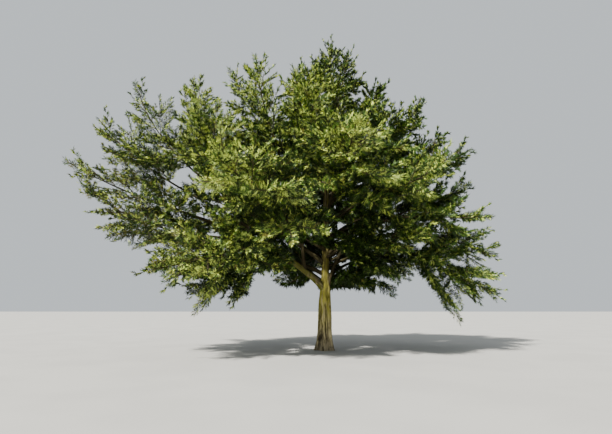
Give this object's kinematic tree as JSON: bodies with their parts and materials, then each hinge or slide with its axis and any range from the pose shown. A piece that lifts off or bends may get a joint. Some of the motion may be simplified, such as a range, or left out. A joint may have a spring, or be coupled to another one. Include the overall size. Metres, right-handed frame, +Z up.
{
  "type": "cedar of lebanon tree",
  "caption": "Wide evergreen conifer: a fluted trunk forks low down, and curved boughs climb out all round and carry open masses of needle sprays.",
  "frame": {"origin": "centre of the flat cut under the trunk, at ground level", "axes": "+Z up, -Y to the front, +X to the right seen from the front"},
  "size_m": [18.3881, 14.2313, 14.2359],
  "materials": {
    "bark": "rough, fissured",
    "mossy_bark": "rough, with a yellow-green film",
    "needles": "satin needles"
  },
  "bodies": {
    "root": {"bough_front_left": "bark", "bough_front_low": "bark", "bough_front_mid": "bark", "bough_left_front_low": "bark", "bough_left_hanging": "bark", "bough_left_high": "bark", "bough_left_low": "bark", "bough_left_main": "mossy_bark", "bough_left_mid": "bark", "bough_left_rise": "bark", "bough_left_shoulder": "bark", "bough_right_hanging": "bark", "bough_right_low": "bark", "bough_right_stem": "bark", "foliage_back_high": "needles", "foliage_back_inner": "needles", "foliage_back_left_mid": "needles", "foliage_back_low": "needles", "foliage_back_mid": "needles", "foliage_front_high": "needles", "foliage_front_left": "needles", "foliage_front_low": "needles", "foliage_front_mid": "needles", "foliage_front_right": "needles", "foliage_front_right_low": "needles", "foliage_inner_front": "needles", "foliage_inner_left": "needles", "foliage_inner_right": "needles", "foliage_leader": "needles", "foliage_left_back_high": "needles", "foliage_left_back_low": "needles", "foliage_left_front_low": "needles", "foliage_left_hanging": "needles", "foliage_left_high": "needles", "foliage_left_inner": "needles", "foliage_left_level": "needles", "foliage_left_low": "needles", "foliage_left_main": "needles", "foliage_left_mid": "needles", "foliage_left_rise": "needles", "foliage_left_shoulder": "needles", "foliage_left_under": "needles", "foliage_right_back_inner": "needles", "foliage_right_back_low": "needles", "foliage_right_back_mid": "needles", "foliage_right_hanging": "needles", "foliage_right_high": "needles", "foliage_right_inner": "needles", "foliage_right_level": "needles", "foliage_right_low": "needles", "foliage_right_mid": "needles", "foliage_right_near": "needles", "foliage_right_stem": "needles", "foliage_right_top": "needles", "foliage_right_under": "needles", "foliage_right_upper": "needles", "foliage_top_back": "needles", "foliage_top_left": "needles", "foliage_top_right": "needles", "trunk": "bark"}
  },
  "joints": []
}
